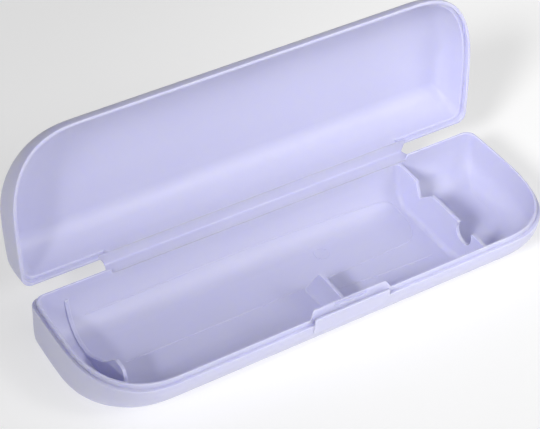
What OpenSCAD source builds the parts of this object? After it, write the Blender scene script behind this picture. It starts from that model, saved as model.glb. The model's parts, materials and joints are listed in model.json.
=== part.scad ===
// Hinged travel case for an electric toothbrush: a shallow base, a domed lid of the same outline, a web hinge
// along the rear edge and a snap latch at the front. The lid is drawn open, as the case is left on a shelf.
// +X runs along the case, +Y to the hinge, +Z up. The origin is on the underside, at the middle of the case.

/* [Case] */
// Overall length
case_len = 222; // [180:1:260]
// Width at the parting line, without the hinge
case_wid = 70; // [60:1:90]
// Height of the base up to the parting line
base_h = 22; // [20:0.5:30]
// Height of the lid above the parting line
lid_h = 20; // [18:0.5:30]
// Angle that the lid stands open
open_angle = 94.5; // [0:0.5:170]

/* [Outline] */
// Radius of the two corners at the hinge
rear_corner = 3.8; // [2:0.1:10]
// Outward bow of the two ends
end_bow = 0.7; // [0:0.1:2]
// Length of the front corners along the case
front_corner_x = 32; // [20:1:45]
// Length of the front corners across the case
front_corner_y = 42; // [30:1:50]
// Squareness of the front corners, where 2 is an ellipse
front_corner_power = 2.55; // [2:0.05:4]

/* [Walls] */
// Thickness of the base's wall at the rim
base_wall = 2.4; // [1.8:0.1:3]
// Thickness of the base's floor
base_floor = 2; // [1.2:0.1:3]
// Thickness of the lid's wall at the rim
lid_wall = 2.5; // [2:0.1:3]
// Thickness of the lid's crown
lid_crown = 1.3; // [1:0.1:2.5]
// Rounding of the outer rim edges
rim_edge = 0.4; // [0.1:0.1:0.8]

/* [Rim joint] */
// Width of the base's ledge outside its lip
ledge_wid = 1.4; // [1:0.1:1.6]
// Height of the base's lip above the parting line
lip_h = 2.3; // [1.5:0.1:3]
// Play between the lip and the lid's rebate
rim_play = 0.15; // [0.1:0.05:0.3]

/* [Hinge] */
// Length of the hinge web along the case
web_len = 148; // [100:1:170]
// Distance from the rear wall to the hinge line
web_reach = 3.4; // [2.5:0.1:5]
// Thickness of each flange of the web
flange_t = 1.2; // [0.8:0.1:2]
// Radius of the thin bead that bends
film_r = 0.35; // [0.25:0.05:0.5]

/* [Latch] */
// Length of the latch tongue at its foot
tongue_len = 40; // [24:1:60]
// Height of the latch tongue above the parting line
tongue_h = 5.2; // [4:0.1:5.6]
// Length of the catch recess in the tongue
recess_len = 16; // [8:1:24]
// Height of the thumb tab above the parting line
tab_h = 4.4; // [3:0.1:5]
// Thickness of the thumb tab at its top
tab_t = 1.2; // [0.8:0.1:1.6]

/* [Inside] */
// Place along the case of the partition for the brush heads
partition_x = 69.5; // [50:0.5:75]
// Place along the case of the cradle under the handle's end
cradle_x = -95; // [-98:0.5:-60]
// Place along the case of the rib behind the latch
centre_rib_x = 2.7; // [-30:0.1:30]
// Thickness of the partition and ribs
rib_t = 1.5; // [1:0.1:2.5]
// Radius of the round notch that holds a brush head's neck
neck_r = 5.2; // [4:0.1:7]

/* [Hidden] */
$fn = 48;
plastic = [0.80, 0.80, 0.93];
half_len = case_len / 2;
half_wid = case_wid / 2;
hinge_y = half_wid + web_reach;
// Play round the bead that bends, in the lid's flange
film_play = 0.06;
// The catch: a bead in the lid, its height above the parting line, and the groove that it snaps into
bead_r = 0.4;
bead_z = 1.1;
groove_r = 0.6;
// The thumb tab's gap to the front of the case, its depth below the parting line and its two ends
tab_gap = 0.15;
tab_foot = 4.2;
tab_x = [-18.9, 17.1];

// Each wall profile is [width, height] of the quarter ellipse that turns the wall into the floor or crown.
base_front_out = [28, base_h];
base_rear_out = [9, 9];
base_end_out = [4.5, 5];
base_in_h = base_h - base_floor;
base_front_in = [26, base_in_h];
base_rear_in = [13, 17];
base_end_in = [8, 11];
lid_front_out = [40, lid_h];
lid_rear_out = [12, 16];
lid_end_out = [6, 9];
lid_in_h = lid_h - lid_crown;
lid_front_in = [38, lid_in_h];
lid_rear_in = [11, 15];
lid_end_in = [5, 8];

// The rebate is as deep as the lip is high, with the same play over and beside it.
rebate_in = ledge_wid - rim_play;
rebate_h = lip_h;

// Inset of a wall at depth d below the rim, where the wall ends in a quarter ellipse at depth h.
function wall_inset(d, h, ellipse) =
    let (q = max(0, d - (h - ellipse[1])) / ellipse[1])
    ellipse[0] * (1 - sqrt(max(0, 1 - q * q)));

// Half of the outline, from the rear middle to the front middle, as [x, distance from the rear edge].
end_v = case_wid - front_corner_y;
function end_x(v) = half_len - end_bow * pow(1 - min(1, v / end_v), 2);
function half_outline() = concat(
    [for (a = [90:-18:0])
        [end_x(rear_corner) - rear_corner * (1 - cos(a)), rear_corner * (1 - sin(a))]],
    [for (k = [1:4]) let (v = rear_corner + (end_v - rear_corner) * k / 4) [end_x(v), v]],
    [for (k = [1:14]) let (t = 90 * k / 14, p = 2 / front_corner_power)
        [half_len - front_corner_x * (1 - pow(cos(t), p)), end_v + front_corner_y * pow(sin(t), p)]]
);

// The whole outline, anticlockwise, inset by its own amount at the ends, the front and the rear.
function outline(end, front, rear) =
    let (
        right = half_outline(),
        n = len(right),
        full = concat([for (k = [n - 1:-1:0]) right[k]], [for (p = right) [-p[0], p[1]]]),
        sx = (half_len - end) / half_len,
        sy = (case_wid - front - rear) / case_wid
    )
    [for (p = full) [p[0] * sx, half_wid - rear - p[1] * sy]];

function lift(points, z) = [for (p = points) [p[0], p[1], z]];

// One ring of a tray's wall: depth d, wall thickness t there, and the three wall profiles.
function wall_ring(d, h, t, end, front, rear) = lift(outline(
    t + wall_inset(d, h, end), t + wall_inset(d, h, front), t + wall_inset(d, h, rear)), -d);

steps = 9;
function level(k, h) = h * sin(90 * k / steps);

// A closed solid through a list of rings that all have the same number of points.
module ring_solid(rings) {
    n = len(rings[0]);
    last = len(rings) - 1;
    sides = [for (k = [0:last - 1], i = [0:n - 1])
        let (a = k * n + i, b = k * n + (i + 1) % n)
        each [[a, a + n, b], [b, a + n, b + n]]];
    first_cap = [for (i = [0:n - 1]) i];
    last_cap = [for (i = [n - 1:-1:0]) last * n + i];
    polyhedron([for (r = rings) each r], concat(sides, [first_cap, last_cap]), convexity = 6);
}

// A tray that opens upwards, with its rim at z = 0. rim lists the steps between the two walls, as [inset, depth].
module tray(h, in_h, t, out, in, rim) {
    outer = [for (k = [steps:-1:1]) wall_ring(level(k, h), h, 0, out[0], out[1], out[2])];
    edge = [
        lift(outline(0, 0, 0), -rim_edge),
        lift(outline(rim_edge, rim_edge, 0), 0)
    ];
    steps_in = [for (r = rim) lift(outline(r[0], r[0], r[0]), -r[1])];
    inner = [for (k = [1:steps]) if (level(k, in_h) > rebate_h)
        wall_ring(level(k, in_h), in_h, t, in[0], in[1], in[2])];
    ring_solid(concat(outer, edge, steps_in, inner));
}

// Y of each place where a ring crosses the plane at x.
function crossings(ring, x) = [
    for (i = [0:len(ring) - 1])
        let (a = ring[i], b = ring[(i + 1) % len(ring)])
        if ((a[0] - x) * (b[0] - x) < 0) a[1] + (b[1] - a[1]) * (x - a[0]) / (b[0] - a[0])
];

// The base's inside wall at the kth level, as a ring.
function inside_ring(k) =
    wall_ring(level(k, base_in_h), base_in_h, base_wall, base_end_in, base_front_in, base_rear_in);

// Draws a flat [y, z] shape as a plate across the case at x, with z measured from the parting line.
module cross_plate(x, t) {
    translate([x - t / 2, 0, base_h]) rotate([90, 0, 90]) linear_extrude(t) children();
}

// Everything inside the lid's modules is drawn shut, and this turns it to its resting place.
module opened() {
    translate([0, hinge_y, base_h]) rotate([-open_angle, 0, 0]) translate([0, -hinge_y, -base_h]) children();
}

module base_shell() {
    color(plastic) translate([0, 0, base_h])
        tray(base_h, base_in_h, base_wall,
            [base_end_out, base_front_out, base_rear_out],
            [base_end_in, base_front_in, base_rear_in],
            [[base_wall, 0]]);
}

module base_lip() {
    color(plastic) translate([0, 0, base_h]) linear_extrude(lip_h) difference() {
        polygon(outline(ledge_wid, ledge_wid, ledge_wid));
        polygon(outline(base_wall, base_wall, base_wall));
        translate([-web_len / 2 - 1, 0]) square([web_len + 2, case_wid]);
        translate([-tongue_len / 2, -case_wid]) square([tongue_len, case_wid]);
    }
}

// Inside section of the base at x, as a [y, z] outline that ends at a depth of top.
module inside_section(x, top) {
    walls = [for (k = [0:steps]) crossings(inside_ring(k), x)];
    intersection() {
        polygon(concat(
            [for (k = [0:steps]) [max(walls[k]), -level(k, base_in_h)]],
            [for (k = [steps:-1:0]) [min(walls[k]), -level(k, base_in_h)]]
        ));
        translate([-case_wid, -2 * base_h]) square([2 * case_wid, 2 * base_h - top]);
    }
}

// The partition has a V notch for a slim head and a round notch for a neck, both open at the top.
module neck_partition() {
    v_notch = [[19, 1], [18, -0.4], [15, -7.6], [12.4, -5.3], [6.8, -0.4], [6, 1]];
    neck_at = [-17, -3.6];
    color(plastic) cross_plate(partition_x, rib_t) difference() {
        inside_section(partition_x, 0.3);
        polygon(v_notch);
        translate(neck_at) circle(neck_r);
        translate([neck_at[0] - 0.88 * neck_r, neck_at[1]]) square([1.76 * neck_r, base_h]);
    }
}

// A low curb up the rear wall and across the floor that rises to a horn near the front corner.
module handle_cradle() {
    curb = 1;
    horn = [[14, -base_in_h + curb], [9, -16.6], [1.3, -12.6], [-5, -6.8], [-9.8, -1.6],
        [-12.5, -0.6], [-15.6, -0.6], [-17.6, -2], [-18.4, -5], [-19, -base_h], [14, -base_h]];
    end_face = cradle_x - rib_t / 2;
    color(plastic) cross_plate(cradle_x, rib_t) intersection() {
        inside_section(end_face, 0.3);
        union() {
            polygon(horn);
            difference() {
                translate([0, -base_h]) square([half_wid, base_h - 4.4]);
                translate([-curb, curb]) inside_section(end_face, -curb);
            }
        }
    }
}

// A web from the front wall to the floor that props the wall behind the latch.
module centre_rib() {
    color(plastic) cross_plate(centre_rib_x, rib_t) intersection() {
        inside_section(centre_rib_x, 4);
        polygon([[-half_wid, 0], [-6.7, 0], [-6.7, -4], [2.4, -base_in_h], [-half_wid, -base_in_h]]);
    }
}

// A plain raised ring on the floor.
module cavity_ring() {
    ring_at = [20, 15.8];
    color(plastic) translate([ring_at[0], ring_at[1], base_floor]) linear_extrude(0.25) difference() {
        circle(3.6);
        circle(3.1);
    }
}

// The tongue carries on the lip and leans inwards, with a catch recess in the middle of its sloping face.
module latch_tongue() {
    foot_y = -half_wid + ledge_wid;
    crest_y = -half_wid + 3;
    side = [[foot_y, 0], [foot_y, lip_h], [crest_y, tongue_h], [crest_y + 0.9, tongue_h],
        [-half_wid + base_wall, 0]];
    slope = 2.4;
    front = [[-tongue_len / 2, 0], [tongue_len / 2, 0], [tongue_len / 2, lip_h],
        [tongue_len / 2 - slope, tongue_h], [slope - tongue_len / 2, tongue_h], [-tongue_len / 2, lip_h]];
    color(plastic) translate([0, 0, base_h]) difference() {
        intersection() {
            translate([-tongue_len / 2, 0, 0]) rotate([90, 0, 90]) linear_extrude(tongue_len) polygon(side);
            translate([0, half_wid, 0]) rotate([90, 0, 0]) linear_extrude(case_wid * 2, center = true)
                polygon(front);
        }
        translate([-recess_len / 2, -case_wid, lip_h + 1.3])
            cube([recess_len, case_wid + crest_y, tongue_h]);
        translate([0, foot_y, bead_z]) rotate([0, 90, 0])
            cylinder(h = recess_len + 1, r = groove_r, center = true);
    }
}

// The thumb tab stands on the front wall, outside the lid's rim, and flares outwards to its top.
// Its lower right corner is one long curve and its other corners are nearly square.
module thumb_tab() {
    // The face, as [how far it stands out from the front of the case, height above the parting line].
    face = [[tab_gap + tab_t, tab_h], [tab_gap + tab_t - 0.05, tab_h - 0.8], [0.85, 1.5], [0.5, -0.5],
        [0.3, -2.5], [0.2, 0.3 - tab_foot], [0, -tab_foot]];
    wall_top = level(1, base_h);
    wall = [[-wall_inset(wall_top, base_h, base_front_out), -wall_top], [0, -rim_edge]];
    side = concat([[tab_gap, tab_h]], face, wall, [[tab_gap, 0]]);
    corner = 1;
    curve = [8.8, 5];
    front = concat(
        [[tab_x[0], -tab_foot], [tab_x[0], tab_h - corner], [tab_x[0] + corner, tab_h],
            [tab_x[1] - corner, tab_h], [tab_x[1], tab_h - corner]],
        [for (a = [0:-10:-90]) [tab_x[1] - curve[0] * (1 - cos(a)), curve[1] * (1 + sin(a)) - tab_foot]]
    );
    color(plastic) translate([0, 0, base_h]) intersection() {
        translate([tab_x[0], -half_wid, 0]) rotate([90, 0, 90]) linear_extrude(tab_x[1] - tab_x[0])
            mirror([1, 0]) polygon(side);
        rotate([90, 0, 0]) linear_extrude(2 * case_wid, center = true) polygon(front);
    }
}

module base_hinge_flange() {
    color(plastic) translate([-web_len / 2, 0, base_h]) rotate([90, 0, 90]) linear_extrude(web_len)
        difference() {
            translate([half_wid, -flange_t]) square([web_reach, flange_t]);
            translate([hinge_y, 0]) circle(film_r);
        }
}

module hinge_film() {
    color(plastic) translate([0, hinge_y, base_h]) rotate([0, 90, 0])
        cylinder(h = web_len, r = film_r, center = true);
}

// The lid's half of the web also fills the rebate behind it, so the lid's rim is flat along the hinge.
module lid_hinge_flange() {
    color(plastic) opened() translate([-web_len / 2, 0, base_h]) rotate([90, 0, 90]) linear_extrude(web_len)
        union() {
            difference() {
                translate([half_wid, rim_play]) square([web_reach, flange_t]);
                translate([hinge_y, 0]) circle(film_r + film_play);
            }
            translate([half_wid - lid_wall, rim_play]) square([lid_wall - rebate_in, rebate_h]);
        }
}

module lid_shell() {
    pocket_len = tongue_len + 2;
    color(plastic) opened() difference() {
        translate([0, 0, base_h + rim_play]) mirror([0, 0, 1])
            tray(lid_h - rim_play, lid_in_h - rim_play, lid_wall,
                [lid_end_out, lid_front_out, lid_rear_out],
                [lid_end_in, lid_front_in, lid_rear_in],
                [[rebate_in, 0], [rebate_in, rebate_h], [lid_wall, rebate_h]]);
        translate([-pocket_len / 2, 0, base_h]) rotate([90, 0, 90]) linear_extrude(pocket_len)
            polygon([[rebate_in - half_wid, 1], [rebate_in - half_wid, 2.5], [2.7 - half_wid, 5.6],
                [5 - half_wid, 5.6], [5 - half_wid, 1]]);
    }
}

// A low bead inside the lid's front rim that snaps into the groove at the tongue's foot.
module lid_catch() {
    color(plastic) opened() translate([0, -half_wid + rebate_in, base_h + bead_z]) rotate([0, 90, 0])
        difference() {
            cylinder(h = recess_len, r = bead_r, center = true);
            translate([-2, -4, -recess_len]) cube([4, 4, 2 * recess_len]);
        }
}

base_shell();
base_lip();
neck_partition();
handle_cradle();
centre_rib();
cavity_ring();
latch_tongue();
thumb_tab();
base_hinge_flange();
hinge_film();
lid_hinge_flange();
lid_shell();
lid_catch();
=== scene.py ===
"""Looks for the hinged travel case. Lengths are in millimetres until a mesh is made. +X runs along the case,
+Y to the hinge and +Z up. The parting plane is where the shut lid's rim meets the base's. A depth is measured
from it into the base or into the lid, and a point written [y, z] has its z from it too."""

import json
import math

import bmesh
import bpy
import numpy as np
from mathutils import Matrix, Vector


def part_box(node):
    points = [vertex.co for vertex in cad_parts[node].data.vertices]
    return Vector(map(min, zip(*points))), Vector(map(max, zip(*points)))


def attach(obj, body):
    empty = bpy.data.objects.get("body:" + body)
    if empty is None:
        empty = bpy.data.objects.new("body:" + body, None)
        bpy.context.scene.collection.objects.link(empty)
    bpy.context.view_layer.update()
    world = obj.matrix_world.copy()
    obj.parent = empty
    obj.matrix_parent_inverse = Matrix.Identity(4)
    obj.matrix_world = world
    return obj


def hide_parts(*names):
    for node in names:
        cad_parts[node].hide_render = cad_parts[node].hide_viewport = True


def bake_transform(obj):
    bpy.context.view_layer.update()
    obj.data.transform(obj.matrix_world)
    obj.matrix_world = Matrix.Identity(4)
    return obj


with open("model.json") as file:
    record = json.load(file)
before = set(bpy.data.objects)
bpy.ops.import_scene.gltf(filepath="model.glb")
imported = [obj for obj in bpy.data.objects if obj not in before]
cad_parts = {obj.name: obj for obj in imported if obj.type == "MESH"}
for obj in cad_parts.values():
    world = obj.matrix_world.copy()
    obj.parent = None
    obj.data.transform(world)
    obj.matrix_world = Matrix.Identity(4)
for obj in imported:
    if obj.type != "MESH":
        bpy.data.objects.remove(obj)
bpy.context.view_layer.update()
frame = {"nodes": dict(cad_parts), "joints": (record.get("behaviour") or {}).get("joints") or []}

MM = 0.001

# ---------------------------------------------------------------- sizes from the frame
_, shell_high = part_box("base_shell")
_, tongue_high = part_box("latch_tongue")
_, film_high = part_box("hinge_film")
tab_low, tab_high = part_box("thumb_tab")
partition_low, partition_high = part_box("neck_partition")
cradle_low, cradle_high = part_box("handle_cradle")
rib_low, rib_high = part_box("centre_rib")
lid_joint = frame["joints"][0]

HALF_LEN = shell_high.x / MM
HALF_WID = shell_high.y / MM
WIDTH = 2 * HALF_WID
BASE_H = shell_high.z / MM
HINGE_Y = lid_joint["pos_m"][1] / MM
OPEN_ANGLE = -lid_joint["range_deg"][0]
TONGUE_HALF = tongue_high.x / MM
TONGUE_H = tongue_high.z / MM - BASE_H
WEB_HALF = film_high.x / MM
PARTITION_X = (partition_low.x + partition_high.x) / 2 / MM
CRADLE_X = (cradle_low.x + cradle_high.x) / 2 / MM
RIB_X = (rib_low.x + rib_high.x) / 2 / MM
RIB_T = (rib_high.x - rib_low.x) / MM

# ---------------------------------------------------------------- the moulding's own sizes
REAR_CORNER = 4.6                                # radius of the outline's two rear corners
END_BOW = 0.7                                    # how far each end wall bows out
CORNER_X, CORNER_Y, CORNER_POWER = 32, 42, 2.55  # each front corner is a quarter of a superellipse
END_LEN = WIDTH - CORNER_Y                       # from the rear edge to where the front corner starts
BASE_WALL, BASE_FLOOR = 2.4, 2.0
LID_H, LID_WALL, LID_CROWN = 20, 2.5, 1.3
RIM_PLAY = 0.15                                  # gap between the shut lid and the base
LEDGE, LIP_H = 1.4, 2.3                          # rim outside the lip, and the lip's height above it
LIP_END = 75                                     # the lip is left out within this of the hinge's middle
TONGUE_FRONT, TONGUE_BACK = 3, 3.9               # insets of the tongue's top edge, as it leans inwards
TONGUE_RISE = 2.4                                # length over which each end of the tongue rises
RECESS_HALF, SHELF_H = 8, 3.6                    # the tongue's catch recess, and the height of its shelf
CATCH_Z, GROOVE_R = 1.1, 0.6                     # the groove that the lid's catch bead lies in
BASE_IN_H = BASE_H - BASE_FLOOR
LID_IN_H = LID_H - LID_CROWN

# Each wall profile is the [width, height] of the quarter ellipse that turns a wall into the floor or crown,
# in the order end, front, rear.
BASE_OUT = ([4.5, 5], [28, BASE_H], [9, 9])
BASE_IN = ([8, 11], [26, BASE_IN_H], [13, 17])
LID_OUT = ([6, 9], [40, LID_H], [12, 16])
LID_IN = ([5, 8], [38, LID_IN_H], [11, 15])

SHARP = 1e-5                                     # the radius of a corner that stays sharp
CREASE = 35                                      # edges of the two shells above this many degrees stay crisp


# ---------------------------------------------------------------- outline and walls
def end_x(v):
    """X of the end wall at distance v from the rear edge."""
    return HALF_LEN - END_BOW * (1 - np.minimum(1, v / END_LEN)) ** 2


def even_steps(points, step):
    """The same line with its points about a step apart."""
    lengths = np.r_[0, np.cumsum(np.hypot(*np.diff(points, axis=0).T))]
    at = np.linspace(0, lengths[-1], max(2, round(lengths[-1] / step)) + 1)
    return np.column_stack([np.interp(at, lengths, points[:, k]) for k in (0, 1)])


def stations(limit, changes):
    """X places along a straight side, close together near each place where the section changes."""
    coarse, fine, near = 3, 0.25, 2.5
    places = set(np.round(np.linspace(0, limit, int(limit / coarse)), 3))
    for change in changes:
        places |= set(np.round(np.arange(change - near, change + near + 0.01, fine), 3))
    places = np.array(sorted(p for p in places if 0 <= p < limit))
    return np.r_[-places[:0:-1], places]


def outline():
    """The outline as rows of x, distance from the rear edge and side, where side is 1 on the straight front,
    -1 on the straight rear and 0 elsewhere. It runs anticlockwise seen from above."""
    corner_from = HALF_LEN - CORNER_X
    corner_step = 1.4
    t = np.radians(np.linspace(90, 0, 200))
    power = 2 / CORNER_POWER
    corner = np.column_stack([corner_from + CORNER_X * np.abs(np.cos(t)) ** power,
                              END_LEN + CORNER_Y * np.abs(np.sin(t)) ** power])
    v = np.linspace(END_LEN, REAR_CORNER, 12)[1:]
    end = np.column_stack([end_x(v), v])
    turn = np.radians(np.linspace(0, 90, 9))[1:]
    rear = np.column_stack([end_x(REAR_CORNER) - REAR_CORNER * (1 - np.cos(turn)),
                            REAR_CORNER * (1 - np.sin(turn))])
    right = np.vstack([even_steps(corner, corner_step), end, rear])
    front_x = stations(corner_from, [TONGUE_HALF, TONGUE_HALF - TONGUE_RISE, RECESS_HALF])
    rear_x = stations(right[-1, 0], [LIP_END])[::-1]
    rows = [(x, WIDTH, 1) for x in front_x]
    rows += [(x, v, 0) for x, v in right]
    rows += [(x, 0, -1) for x in rear_x]
    rows += [(-x, v, 0) for x, v in right[::-1]]
    return np.array(rows)


RING = outline()


def quarter(d, h, ellipse):
    """Inset at distance d from the rim of a wall that ends in a quarter ellipse at h."""
    q = np.clip((d - (h - ellipse[1])) / ellipse[1], 0, 1)
    return ellipse[0] * (1 - np.sqrt(1 - q * q))


def inset_ring(end, front, rear):
    """X and y of the outline moved inwards by its own amount at the ends, the front and the rear."""
    x = RING[:, 0] * (HALF_LEN - end) / HALF_LEN
    y = HALF_WID - rear - RING[:, 1] * (WIDTH - front - rear) / WIDTH
    return x, y


def ramp(value, start, end):
    """0 before start, 1 after end, and a smooth rise between them."""
    t = np.clip((value - start) / (end - start), 0, 1)
    return t * t * (3 - 2 * t)


def near_front(half, edge):
    """1 on the front within half of the middle, with a change of the given width ending there."""
    return np.where(RING[:, 2] == 1, 1 - ramp(np.abs(RING[:, 0]), half - edge, half), 0)


def along_hinge(half):
    """1 on the rear within half of the middle."""
    soft = 0.6
    return np.where(RING[:, 2] == -1, 1 - ramp(np.abs(RING[:, 0]), half - soft, half + soft), 0)


def rounded(corners, radii):
    """A path through corners of [inset, depth, share of the inner profile]. radii are those of the corners
    between the first and the last."""
    steps = 5
    corners = np.array(corners, float)
    path = [corners[0]]
    for radius, before, here, after in zip(radii, corners, corners[1:], corners[2:]):
        one, two = before - here, after - here
        for_one, for_two = np.hypot(*one[:2]), np.hypot(*two[:2])
        start = here + one * min(radius, 0.45 * for_one) / for_one
        stop = here + two * min(radius, 0.45 * for_two) / for_two
        for s in np.linspace(0, 1, steps + 1):
            path.append((1 - s) ** 2 * start + 2 * s * (1 - s) * here + s * s * stop)
    path.append(corners[-1])
    return np.array(path)


def tray_rings(height, inner_height, outer, inner, paths, masks):
    """Rings of [x, y, depth] round a tray: up the outside, over the rim, and down the inside.
    paths are rim sections with equal counts, and masks say how much of each is at every outline point."""
    n = len(RING)
    rings = []
    last = math.asin(1.2 * paths[0][0, 1] / height)           # just short of where the section starts
    for angle in np.linspace(math.pi / 2, last, 22):
        d = height * math.sin(angle)
        x, y = inset_ring(*[quarter(d, height, e) for e in outer])
        rings.append(np.column_stack([x, y, np.full(n, d)]))
    section = sum(path[:, None, :] * mask[None, :, None] for path, mask in zip(paths, masks))
    for row in section:
        inset, d, share = row.T
        end, front, rear = [inset + share * quarter(d, inner_height, e) for e in inner]
        x, y = inset_ring(end, front, rear)
        rings.append(np.column_stack([x, y, d]))
    wall, depth = paths[0][-1, :2]
    first = math.asin(1.12 * depth / inner_height)            # just past where the section stops
    for angle in np.linspace(first, math.pi / 2, 26):
        d = inner_height * math.sin(angle)
        x, y = inset_ring(*[wall + quarter(d, inner_height, e) for e in inner])
        rings.append(np.column_stack([x, y, np.full(n, d)]))
    return rings


# ---------------------------------------------------------------- meshes
def add_object(name, data):
    """A new object in the scene."""
    made = bpy.data.objects.new(name, data)
    bpy.context.scene.collection.objects.link(made)
    return made


def new_piece(name, verts, faces, crease=None):
    """A mesh object from points in millimetres, with its normals facing out. Edges above the crease angle,
    in degrees, stay crisp."""
    mesh = bpy.data.meshes.new(name)
    mesh.from_pydata([tuple(v) for v in np.asarray(verts) * MM], [], faces)
    bm = bmesh.new()
    bm.from_mesh(mesh)
    bmesh.ops.remove_doubles(bm, verts=bm.verts, dist=1e-7)
    bmesh.ops.recalc_face_normals(bm, faces=bm.faces)
    bm.to_mesh(mesh)
    bm.free()
    mesh.shade_smooth()
    if crease:
        mesh.set_sharp_from_angle(angle=math.radians(crease))
    return add_object(name, mesh)


def closed_faces(rings, n):
    """Quads between rings of n points, and a cap on the first and the last."""
    faces = [(r * n + k, r * n + (k + 1) % n, (r + 1) * n + (k + 1) % n, (r + 1) * n + k)
             for r in range(rings - 1) for k in range(n)]
    last = (rings - 1) * n
    return faces + [tuple(range(n))[::-1], tuple(range(last, last + n))]


def opened(points):
    """Points of the shut lid, turned about the hinge to where the lid rests."""
    a = math.radians(OPEN_ANGLE)
    p = np.array(points, float)
    y, z = p[:, 1] - HINGE_Y, p[:, 2] - BASE_H
    p[:, 1] = HINGE_Y + y * math.cos(a) + z * math.sin(a)
    p[:, 2] = BASE_H - y * math.sin(a) + z * math.cos(a)
    return p


def rod(name, half, y, z, radius):
    """A round bar along the case."""
    sides = 16
    turns = np.linspace(0, 2 * math.pi, sides, endpoint=False)
    ends = [np.column_stack([np.full(sides, x), y + radius * np.cos(turns), z + radius * np.sin(turns)])
            for x in (-half, half)]
    return new_piece(name, np.vstack(ends), closed_faces(len(ends), sides))


def bake(piece):
    """Turns a piece's modifiers into its mesh."""
    mesh = bpy.data.meshes.new_from_object(piece.evaluated_get(bpy.context.evaluated_depsgraph_get()))
    piece.modifiers.clear()
    piece.data = mesh


def shade(piece):
    """Smooth shading that keeps flat faces flat and creases crisp."""
    piece.data.shade_smooth()
    piece.data.set_sharp_from_angle(angle=math.radians(CREASE))
    weigh = piece.modifiers.new("weigh", "WEIGHTED_NORMAL")
    weigh.keep_sharp = True
    bake(piece)


def unite(whole, parts, cutters):
    """Adds closed meshes to a closed mesh and takes others away. As one moulding, with no faces left inside,
    it lets light scatter through its ribs as through its walls."""
    for part in (*parts, *cutters):
        step = whole.modifiers.new(part.name, "BOOLEAN")
        step.operation = "DIFFERENCE" if part in cutters else "UNION"
        step.solver = "MANIFOLD"
        step.object = part
    bake(whole)
    for part in (*parts, *cutters):
        mesh = part.data
        bpy.data.objects.remove(part)
        bpy.data.meshes.remove(mesh)
    whole.data.materials.clear()
    whole.data.polygons.foreach_set("material_index", [0] * len(whole.data.polygons))


# ---------------------------------------------------------------- materials
def moulded_plastic(name, colour, roughness, grain, depth):
    """Satin moulded plastic with a fine grain and slight unevenness in tone and gloss. depth is how far, in
    millimetres, light goes into it."""
    material = bpy.data.materials.new(name)
    material.use_nodes = True
    nodes, links = material.node_tree.nodes, material.node_tree.links
    shader = nodes["Principled BSDF"]
    place = nodes.new("ShaderNodeTexCoord")

    def noise(scale, detail):
        node = nodes.new("ShaderNodeTexNoise")
        node.inputs["Scale"].default_value = scale
        node.inputs["Detail"].default_value = detail
        links.new(place.outputs["Object"], node.inputs["Vector"])
        return node.outputs["Fac"]

    def spread(source, low, high):
        node = nodes.new("ShaderNodeMapRange")
        node.inputs["From Min"].default_value = 0.3
        node.inputs["From Max"].default_value = 0.7
        node.inputs["To Min"].default_value = low
        node.inputs["To Max"].default_value = high
        links.new(source, node.inputs["Value"])
        return node.outputs["Result"]

    def bump(height, strength, distance):
        node = nodes.new("ShaderNodeBump")
        node.inputs["Strength"].default_value = strength
        node.inputs["Distance"].default_value = distance * MM
        links.new(height, node.inputs["Height"])
        return node

    tone = nodes.new("ShaderNodeMix")
    tone.data_type = "RGBA"
    tone.inputs["A"].default_value = (*[c * 0.975 for c in colour], 1)
    tone.inputs["B"].default_value = (*[min(1, c * 1.02) for c in colour], 1)
    links.new(noise(22, 3), tone.inputs["Factor"])
    links.new(tone.outputs["Result"], shader.inputs["Base Color"])
    links.new(spread(noise(60, 4), roughness - 0.05, roughness + 0.05), shader.inputs["Roughness"])
    fine = bump(noise(3200, 2), grain, 0.03)
    wavy = bump(noise(45, 1), 0.02, 0.4)
    links.new(fine.outputs["Normal"], wavy.inputs["Normal"])
    links.new(wavy.outputs["Normal"], shader.inputs["Normal"])
    shader.inputs["IOR"].default_value = 1.49
    shader.inputs["Subsurface Weight"].default_value = 1.0
    shader.inputs["Subsurface Radius"].default_value = (1.0, 1.0, 1.3)
    shader.inputs["Subsurface Scale"].default_value = depth * MM
    return material


LAVENDER = (0.62, 0.62, 0.80)
shell_plastic = moulded_plastic("shell_plastic", LAVENDER, 0.42, 0.35, 1)
catch_plastic = moulded_plastic("catch_plastic", LAVENDER, 0.42, 0.3, 0.4)
web_plastic = moulded_plastic("web_plastic", LAVENDER, 0.34, 0.12, 0.4)


def finish_piece(piece, body, material, replaced):
    """Gives a piece its material and, if it has one, its body, and hides the CAD nodes that it stands for. A
    piece with no body is left unattached."""
    piece.data.materials.append(material)
    if body:
        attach(piece, body)
    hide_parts(*replaced)


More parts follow.
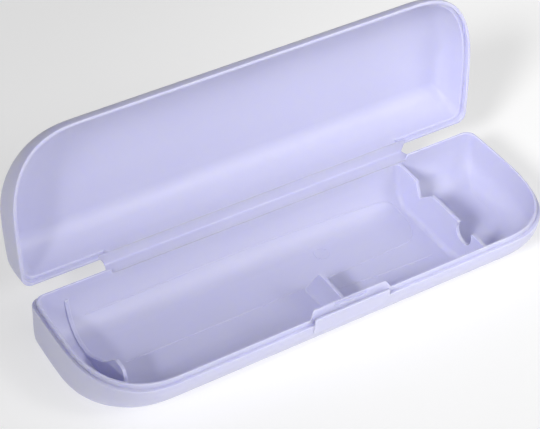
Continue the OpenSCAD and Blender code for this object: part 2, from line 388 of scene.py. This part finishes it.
# ---------------------------------------------------------------- base
def make_base():
    """The tray with its rim, tongue, ribs, thumb tab and floor lines, as one moulding. The rim has four
    sections: the lip, the latch's tongue, the recess in it, and flat along the hinge."""
    foot = [[0, 0.9, 0], [0, 0, 0], [LEDGE, 0, 0]]
    tail = [[BASE_WALL, 0, 0], [BASE_WALL, 1, 1]]
    top = [[TONGUE_FRONT, -TONGUE_H, 0], [TONGUE_BACK, -TONGUE_H, 0]]
    lean = (TONGUE_FRONT - LEDGE) / (TONGUE_H - LIP_H)
    shelf = LEDGE + lean * (SHELF_H - LIP_H)
    above = SHELF_H + 0.5
    lip = rounded(foot + [[LEDGE, -0.9, 0], [LEDGE, -1.3, 0], [LEDGE, -1.7, 0], [LEDGE, -LIP_H, 0],
                          [BASE_WALL, -LIP_H, 0]] + tail,
                  [0.4, 0.2, 0.1, 0.1, 0.1, 0.35, 0.35, 0.1])
    tongue = rounded(foot + [[LEDGE, -LIP_H, 0], [shelf, -SHELF_H, 0],
                             [LEDGE + lean * (above - LIP_H), -above, 0]] + top + tail,
                     [0.4, 0.2, 0.4, 0.1, 0.1, 0.3, 0.35, 0.1])
    recess = rounded(foot + [[LEDGE, -LIP_H, 0], [shelf, -SHELF_H, 0],
                             [TONGUE_FRONT - 0.05, -SHELF_H, 0]] + top + tail,
                     [0.4, 0.2, 0.4, 0.12, 0.12, 0.2, 0.35, 0.1])
    flat = rounded(foot + [[inset, 0, 0] for inset in (1.5, 1.6, 1.7, 1.8, 2)] + tail, 8 * [SHARP])
    at_hinge = along_hinge(LIP_END)
    at_tongue = near_front(TONGUE_HALF, TONGUE_RISE)
    at_recess = near_front(RECESS_HALF, 0.5)
    rings = tray_rings(BASE_H, BASE_IN_H, BASE_OUT, BASE_IN, [lip, tongue, recess, flat],
                       [(1 - at_tongue) * (1 - at_hinge), at_tongue * (1 - at_recess), at_recess, at_hinge])
    verts = np.vstack(rings)
    verts[:, 2] = BASE_H - verts[:, 2]
    piece = new_piece("base_case", verts, closed_faces(len(rings), len(RING)))
    groove = rod("catch_groove", RECESS_HALF + 0.5, LEDGE - HALF_WID, BASE_H + CATCH_Z, GROOVE_R)
    parts = make_partition() + make_centre_rib() + make_cradle() + make_tab() + make_floor_lines()
    unite(piece, parts, [groove])
    shade(piece)
    finish_piece(piece, "base", shell_plastic,
                 ["base_shell", "base_lip", "latch_tongue", "neck_partition", "centre_rib",
                  "handle_cradle", "thumb_tab", "cavity_ring"])


# ---------------------------------------------------------------- ribs inside the base
DEPTHS = BASE_IN_H * np.sin(np.linspace(0, math.pi / 2, 40))


def depths_below(top):
    """The depths of a section that starts at top."""
    return np.r_[top, DEPTHS[DEPTHS > top + 0.05]]


def front_at(x):
    """Distance from the rear edge of the outline's front side at x."""
    over = max(0.0, abs(x) - (HALF_LEN - CORNER_X)) / CORNER_X
    return END_LEN + CORNER_Y * max(0.0, 1 - over ** CORNER_POWER) ** (1 / CORNER_POWER)


def inside_section(x, depths):
    """[y, z] down the base's inside rear wall, across the floor and up its front wall at x."""
    rear_side, front_side = [], []
    for d in depths:
        end, front, rear = [BASE_WALL + quarter(d, BASE_IN_H, e) for e in BASE_IN]
        across = (WIDTH - front - rear) / WIDTH
        rear_side.append((HALF_WID - rear, -d))
        front_side.append((HALF_WID - rear - front_at(x * HALF_LEN / (HALF_LEN - end)) * across, -d))
    return even_steps(np.array(rear_side + front_side[::-1]), 0.6)


def inward_normals(line):
    """Unit normals of a [y, z] line that runs down the rear wall and up the front, towards the inside."""
    step = np.gradient(line, axis=0)
    step /= np.hypot(*step.T)[:, None]
    return np.column_stack([step[:, 1], -step[:, 0]])


def smooth_corner(points):
    """The line with its corners cut back twice, keeping its two ends."""
    p = np.array(points, float)
    for _ in range(2):
        q = [p[0]]
        for a, b in zip(p[:-1], p[1:]):
            q += [0.75 * a + 0.25 * b, 0.25 * a + 0.75 * b]
        p = np.array(q + [p[-1]])
    return p


def plate(name, x, free_edge, contact, fillets):
    """A plate across the case at x between its free edge and the line where it meets the shell, with a fillet
    of its own radius along that line on the left and on the right."""
    half = RIB_T / 2
    bury, edge_radius = 0.25, 0.4
    outside = contact - inward_normals(contact) * bury
    shape = np.vstack([free_edge, outside[::-1]])
    n = len(shape)
    mesh_points = np.vstack([np.column_stack([np.full(n, x + side), shape[:, 0], shape[:, 1] + BASE_H])
                             for side in (-half, half)])
    faces = [tuple(range(n)), tuple(range(n, 2 * n))[::-1]]
    faces += [(k, k + n, (k + 1) % n + n, (k + 1) % n) for k in range(n)]
    piece = new_piece(name, mesh_points, faces)
    bm = bmesh.new()
    bm.from_mesh(piece.data)
    bm.verts.ensure_lookup_table()
    free = len(free_edge)
    soft = [e for e in bm.edges
            if all(v.index % n < free for v in e.verts) and (e.verts[0].index < n) == (e.verts[1].index < n)]
    bmesh.ops.bevel(bm, geom=soft, offset=edge_radius * MM, segments=4, profile=0.5, affect="EDGES",
                    clamp_overlap=True)
    bm.to_mesh(piece.data)
    bm.free()
    beads = [fillet(name, x + side * half, side, radius, contact) for side, radius in zip((-1, 1), fillets)]
    return [piece] + beads


def fillet(name, face_x, side, radius, contact):
    """A closed bead with a hollow face between a plate's face at face_x and the shell."""
    bury = -0.3
    angles = np.radians(np.linspace(0, 90, 9))
    reach = radius * (1 - np.cos(angles))
    rise = radius * (1 - np.sin(angles))
    loop = [(bury, radius), *zip(reach, rise), (radius, bury), (bury, bury)]
    normals = inward_normals(contact)
    rings = []
    for out, up in loop:
        line = contact + normals * up
        rings.append(np.column_stack([np.full(len(line), face_x + side * out), line[:, 0],
                                      line[:, 1] + BASE_H]))
    columns = np.stack(rings, axis=1).reshape(-1, 3)
    return new_piece(name + "_fillet", columns, closed_faces(len(contact), len(loop)), 40)


def make_partition():
    """The partition has a V notch for a slim head and a round notch for a neck."""
    crest = -0.3
    contact = inside_section(PARTITION_X, depths_below(-crest))
    rear_y, front_y = contact[0, 0], contact[-1, 0]
    neck_y, neck_z, neck_r = -17, -3.6, 5.2
    arc = np.radians(np.linspace(28, -208, 34))
    notch = [(neck_y + neck_r * math.cos(t), neck_z + neck_r * math.sin(t)) for t in arc]
    mouth = 0.88 * neck_r                             # half the round notch's width where it opens
    v_notch = [(19.3, crest), (18.7, -0.5), (18.2, -1.2), (15.2, -7.3), (14.7, -7.4), (12.4, -5.3),
               (7.2, -0.7), (6.7, crest)]
    edge = [(rear_y + 0.25, crest), *v_notch,
            (neck_y + mouth + 0.8, crest), (neck_y + mouth + 0.2, -0.6), *notch,
            (neck_y - mouth - 0.2, -0.6), (neck_y - mouth - 0.8, crest), (front_y - 0.25, crest)]
    return plate("neck_partition_rib", PARTITION_X, np.array(edge), contact, (2.6, 1.2))


def make_centre_rib():
    """A web from the front wall to the floor that props the wall behind the latch."""
    whole = inside_section(RIB_X, DEPTHS)
    foot, crest = 2.4, -4
    contact = whole[(whole[:, 0] < foot) & (whole[:, 1] < crest)]
    contact = np.vstack([contact, [contact[-1, 0] - 0.02, crest]])
    edge = smooth_corner([(foot, -BASE_IN_H - 0.1), (0.6, -BASE_IN_H + 2.9), (-6.0, -5.0), (-7.4, crest),
                          (-12, crest), (contact[-1, 0] - 0.25, crest)])
    return plate("centre_rib_web", RIB_X, edge, contact, (0.9, 0.9))


def make_cradle():
    """A low curb up the rear wall and across the floor that rises to a horn near the front corner."""
    whole = inside_section(CRADLE_X, DEPTHS)
    foot, rear_top = -19, -4.4
    curb_h, curb_end = 0.75, 15
    contact = whole[(whole[:, 1] < rear_top) & ((whole[:, 0] > foot) | (whole[:, 1] < -BASE_IN_H + 0.01))]
    curb = contact + inward_normals(contact) * curb_h
    curb = curb[curb[:, 0] > curb_end]
    horn = smooth_corner([curb[-1], (11, -18.3), (9, -16.8), (1.3, -12.6), (-5, -6.8), (-9.6, -1.4),
                          (-12, -0.6), (-16, -0.6), (-17.8, -2), (-18.6, -6), tuple(contact[-1])])
    edge = np.vstack([curb[:-1], horn])
    return plate("handle_cradle_rib", CRADLE_X, edge, contact, (0.4, 0.7))


# ---------------------------------------------------------------- fine lines on the floor
def on_floor(x, y):
    """The point of the base's inside surface above x, y."""
    section = inside_section(x, DEPTHS)
    return np.array([x, y, BASE_H + np.interp(-y, -section[:, 0], section[:, 1])])


def surface_bead(name, path, sunk):
    """A low rounded line along a path of [x, y] on the inside surface, with its middle sunk below it."""
    radius, sides, probe = 0.32, 8, 0.2
    path = even_steps(np.array(path, float), 1.5)
    centres, ups = [], []
    for x, y in path:
        here = on_floor(x, y)
        up = np.cross(on_floor(x + probe, y) - here, on_floor(x, y + probe) - here)
        ups.append(up / np.linalg.norm(up))
        centres.append(here - ups[-1] * sunk)
    centres, ups = np.array(centres), np.array(ups)
    along = np.gradient(centres, axis=0)
    across = np.cross(along, ups)
    across /= np.linalg.norm(across, axis=1)[:, None]
    turns = np.linspace(0, 2 * math.pi, sides, endpoint=False)
    rings = [centres + radius * (math.cos(t) * across + math.sin(t) * ups) for t in turns]
    return new_piece(name, np.stack(rings, axis=1).reshape(-1, 3), closed_faces(len(path), sides))


def make_floor_lines():
    """The outline of the handle's bay, a line behind the latch and a ring, all low steps in the mould."""
    bay_end = smooth_corner([(50, 4.6), (59, 4.8), (65.2, 14), (65.2, 27.6), (56, 28.8)])
    bay = [(-84, 2.7), (3, 3), *bay_end, (23, 29.6), (-7, 30.1), (-45, 29.9), (-88, 29.6)]
    ring_x, ring_y, ring_r = 20, 17.6, 3.3
    ring = [(ring_x + ring_r * math.cos(a), ring_y + ring_r * math.sin(a))
            for a in np.radians(np.linspace(20, 345, 40))]
    return [surface_bead("bay_line", bay, 0.1),
            surface_bead("latch_line", [(14, -3.8), (32, -6.1), (61, -7.2)], 0.1),
            surface_bead("ring_line", ring, 0.08)]


# ---------------------------------------------------------------- thumb tab
def tab_outline(left, right, foot, top):
    """[x, z] round the tab: three small corners, and one long curve at the lower right."""
    curve_x, curve_z = 8.8, 5.0
    corners = [(left, foot, 0.5, 1, 1), (left, top, 1.1, 1, -1), (right, top, 1.1, -1, -1)]
    shape = []
    for (x, z, r, into_x, into_z), start in zip(corners, (270, 180, 90)):
        for a in np.radians(np.linspace(start, start - 90, 9)):
            shape.append((x + into_x * r + r * math.cos(a), z + into_z * r + r * math.sin(a)))
    for a in np.radians(np.linspace(0, -90, 25)):
        shape.append((right - curve_x + curve_x * math.cos(a), foot + curve_z + curve_z * math.sin(a)))
    return np.array(shape)


def extent(shape, z):
    """The lowest and highest x of a closed [x, z] shape at z."""
    x = []
    for a, b in zip(shape, np.roll(shape, -1, axis=0)):
        if (a[1] - z) * (b[1] - z) <= 0 and abs(a[1] - b[1]) > 1e-9:
            x.append(a[0] + (b[0] - a[0]) * (z - a[1]) / (b[1] - a[1]))
    return min(x), max(x)


def to_edge(shape, p):
    """Distance from p to a closed shape's edge."""
    along = np.roll(shape, -1, axis=0) - shape
    t = np.clip(((p - shape) * along).sum(1) / np.maximum((along ** 2).sum(1), 1e-12), 0, 1)
    return np.hypot(*(shape + along * t[:, None] - p).T).min()


def make_tab():
    """The thumb tab. It is buried in the base's wall, and above the rim it stands outside the lid."""
    left, right = tab_low.x / MM, tab_high.x / MM
    top, foot = tab_high.z / MM - BASE_H, tab_low.z / MM - BASE_H
    shape = tab_outline(left, right, foot, top)
    # How far the tab's face stands in front of the case, at heights from the parting plane.
    proud = np.array([(foot, 0.5), (-2.5, 0.6), (-0.5, 0.8), (1.5, 1), (top - 0.8, 1.3), (top, 1.35)])
    back, buried, wall_top = -HALF_WID - RIM_PLAY, 0.7, 0.1
    edge_radius, end_gap = 0.38, 0.001

    # A grid over the shape, with close rows and columns near its edge.
    border = np.array([0, 0.03, 0.08, 0.16, 0.27, 0.4, 0.6])
    zs = np.r_[foot + end_gap + border, np.linspace(foot + 1, top - 1, 26), (top - end_gap - border)[::-1]]
    rows = []
    for z in zs:
        low, high = extent(shape, z)
        rows.append(np.r_[low + border, np.linspace(low + 1, high - 1, 30), (high - border)[::-1]])
    n, m = len(zs), len(rows[0])
    front, rear = [], []
    for z, xs in zip(zs, rows):
        for x in xs:
            gap = min(edge_radius, to_edge(shape, np.array([x, z])))
            edge = edge_radius - math.sqrt(edge_radius ** 2 - (edge_radius - gap) ** 2)
            front.append((x, edge - HALF_WID - np.interp(z, proud[:, 0], proud[:, 1]), z + BASE_H))
            rear.append((x, back - 0.5 * edge if z > wall_top else back + buried, z + BASE_H))

    faces = [(r * m + c, r * m + c + 1, (r + 1) * m + c + 1, (r + 1) * m + c)
             for r in range(n - 1) for c in range(m - 1)]
    rear_faces = [tuple(k + n * m for k in f)[::-1] for f in faces]
    around = ([*range(m)] + [r * m + m - 1 for r in range(1, n)]
              + [(n - 1) * m + c for c in range(m - 2, -1, -1)] + [r * m for r in range(n - 2, 0, -1)])
    sides = [(a, b, b + n * m, a + n * m) for a, b in zip(around, around[1:] + around[:1])]
    return [new_piece("thumb_tab_shell", np.array(front + rear), faces + rear_faces + sides)]


# ---------------------------------------------------------------- lid
def make_lid():
    """The lid, with a rebate that goes over the base's lip. Its rim has three sections: plain, cut back for
    the tongue, and flat along the hinge."""
    lip = RIM_PLAY + LIP_H
    rebate = LEDGE - RIM_PLAY
    head = [[0, 1, 0], [0, RIM_PLAY, 0]]
    step = head + [[rebate, RIM_PLAY, 0], [rebate, lip, 0]]
    wall = [[LID_WALL, 4.2, 1], [LID_WALL, 6.2, 1]]
    plain = rounded(step + [[LID_WALL, lip, 1]] + wall, [0.35, 0.15, 0.12, 0.3, 0.1])
    pocket = rounded(step + [[LID_WALL + 0.2, 5.5, 0], [LID_WALL, 5.7, 1], wall[1]],
                     [0.35, 0.15, 0.2, 0.2, 0.3])
    flat = rounded(head + [[1.4, RIM_PLAY, 0], [1.9, RIM_PLAY, 0], [LID_WALL, RIM_PLAY, 1]] + wall,
                   5 * [SHARP])
    hinge_play, tongue_play = 1.4, 2                  # how far the sections stay off the lip and the tongue
    at_hinge = along_hinge(LIP_END - hinge_play)
    at_tongue = near_front(TONGUE_HALF + tongue_play, 1.2)
    rings = tray_rings(LID_H, LID_IN_H, LID_OUT, LID_IN, [plain, pocket, flat],
                       [(1 - at_tongue) * (1 - at_hinge), at_tongue, at_hinge])
    verts = np.vstack(rings)
    verts[:, 2] = BASE_H + verts[:, 2]
    piece = new_piece("lid_case", opened(verts), closed_faces(len(rings), len(RING)))
    shade(piece)
    finish_piece(piece, "lid", shell_plastic, ["lid_shell"])


# ---------------------------------------------------------------- hinge web
def bend(start, end, control):
    """Points along the curve from start to end that is drawn towards control, without its ends."""
    start, end, control = [np.array(p) for p in (start, end, control)]
    return [tuple((1 - s) ** 2 * start + 2 * s * (1 - s) * control + s * s * end)
            for s in np.linspace(0, 1, 9)[1:-1]]


def lid_side(points):
    """The base's half of the web's section, turned into the lid's half where the lid rests. Each [y, z] is
    measured from the hinge line."""
    turned = opened(np.array([(0, y + HINGE_Y, RIM_PLAY - z + BASE_H) for y, z in points]))
    return [(y - HINGE_Y, z - BASE_H) for _, y, z in turned]


def make_web():
    """One strip from the base's rear rim over the hinge line to the lid, thinned to a film where it bends.
    Its ends are hollow curves, so it is shortest at the hinge line."""
    thick, film = 1.2, 0.4
    lift = 0.03                                       # keeps the web's top out of the rims' planes
    root = HALF_WID - 0.4 - HINGE_Y                   # where the web's underside meets the rear wall
    rim = HALF_WID - BASE_WALL + 0.06 - HINGE_Y       # where its top ends, at the rim's inner edge
    base_top = [(rim, lift), (-2.6, lift), (-1.2, lift), (-0.55, -0.03)]
    base_under = [(-0.55, -0.03 - film), (-1.0, -0.62), (-1.5, -thick + 0.1), (-1.7, -thick), (-2.6, -thick),
                  (root, -thick)]
    lid_top, lid_under = lid_side(base_top), lid_side(base_under)
    inner = bend(base_top[-1], lid_top[-1], (0.16, 0.0))
    outer = bend(lid_under[0], base_under[0], (0.58, -0.42))
    loop = np.array(base_top + inner + lid_top[::-1] + lid_under[::-1] + outer + base_under)

    end_growth, end_curve = 2.2, 2.4
    away = np.hypot(*loop.T) / abs(root)
    centre, reach = 0.5, WEB_HALF + 0.5 + end_growth * np.minimum(1, away) ** end_curve
    columns = np.sin(np.linspace(-math.pi / 2, math.pi / 2, 61))
    rings = [np.column_stack([centre + c * reach, loop[:, 0] + HINGE_Y, loop[:, 1] + BASE_H])
             for c in columns]
    piece = new_piece("hinge_web", np.vstack(rings), closed_faces(len(rings), len(loop)), 40)
    finish_piece(piece, None, web_plastic,
                 ["base_hinge_flange", "hinge_film", "lid_hinge_flange"])
    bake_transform(piece)


make_base()
make_lid()
make_web()
catch = frame["nodes"]["lid_catch"]
catch.data.materials.clear()
catch.data.materials.append(catch_plastic)


# ---------------------------------------------------------------- stage, light and camera
def make_floor():
    """A plain pale floor, which glows a little so that shadows on it stay light."""
    size = 6.0
    mesh = bpy.data.meshes.new("floor")
    mesh.from_pydata([(-size, -size, 0), (size, -size, 0), (size, size, 0), (-size, size, 0)], [],
                     [(0, 1, 2, 3)])
    floor = add_object("floor", mesh)
    paper = bpy.data.materials.new("paper")
    paper.use_nodes = True
    shader = paper.node_tree.nodes["Principled BSDF"]
    shader.inputs["Base Color"].default_value = (0.5, 0.5, 0.5, 1)
    shader.inputs["Roughness"].default_value = 0.9
    shader.inputs["Emission Color"].default_value = (1, 1, 1, 1)
    shader.inputs["Emission Strength"].default_value = 0.52
    mesh.materials.append(paper)


def add_light(name, kind, place, aim, power):
    """A light at place that points at aim, both in metres. It returns the light's data."""
    data = bpy.data.lights.new(name, kind)
    data.energy = power
    light = add_object(name, data)
    light.location = place
    light.rotation_euler = (Vector(aim) - Vector(place)).to_track_quat("-Z", "Y").to_euler()
    return data


def make_lights():
    """A broad key light from the front, and two narrow soft spots that brighten one end each."""
    key = add_light("key", "AREA", (0.4, -0.95, 0.75), (0, 0.03, 0.03), 8.5)
    key.size = 1.3
    spots = [("grid_left", (-0.7, -0.45, 0.7), (0.16, 0.03, 0.04), 70),
             ("grid_right", (0.5, -0.75, 0.75), (-0.1, 0.03, 0.05), 16)]
    for name, place, aim, power in spots:
        spot = add_light(name, "SPOT", place, aim, power)
        spot.spot_size = math.radians(18)
        spot.spot_blend = 1
        spot.shadow_soft_size = 0.16


def make_world():
    """Even white light from all round."""
    world = bpy.data.worlds.new("studio")
    world.use_nodes = True
    background = world.node_tree.nodes["Background"]
    background.inputs["Color"].default_value = (1, 1, 1, 1)
    background.inputs["Strength"].default_value = 0.2
    bpy.context.scene.world = world


def make_camera():
    """A long lens, in front of the case, to its left and well above it, with a slight roll."""
    azimuth, elevation, roll = [math.radians(a) for a in (-33.324, 40.995, 2.158)]
    distance = 768.45 * MM
    target = Vector((1.70, 31.39, BASE_H)) * MM
    back = Vector((math.sin(azimuth) * math.cos(elevation), -math.cos(azimuth) * math.cos(elevation),
                   math.sin(elevation)))
    right = (-back).cross(Vector((0, 0, 1))).normalized()
    up = right.cross(-back)
    turned_right = math.cos(roll) * right + math.sin(roll) * up
    turned_up = -math.sin(roll) * right + math.cos(roll) * up
    data = bpy.data.cameras.new("camera")
    data.lens = 120.34
    data.sensor_width = 36
    data.clip_start, data.clip_end = 0.01, 20
    camera = add_object("camera", data)
    pose = Matrix((turned_right, turned_up, back)).transposed().to_4x4()
    pose.translation = target + back * distance
    camera.matrix_world = pose
    bpy.context.scene.camera = camera


make_floor()
make_world()
make_lights()
bpy.context.scene.view_settings.view_transform = "Standard"
make_camera()
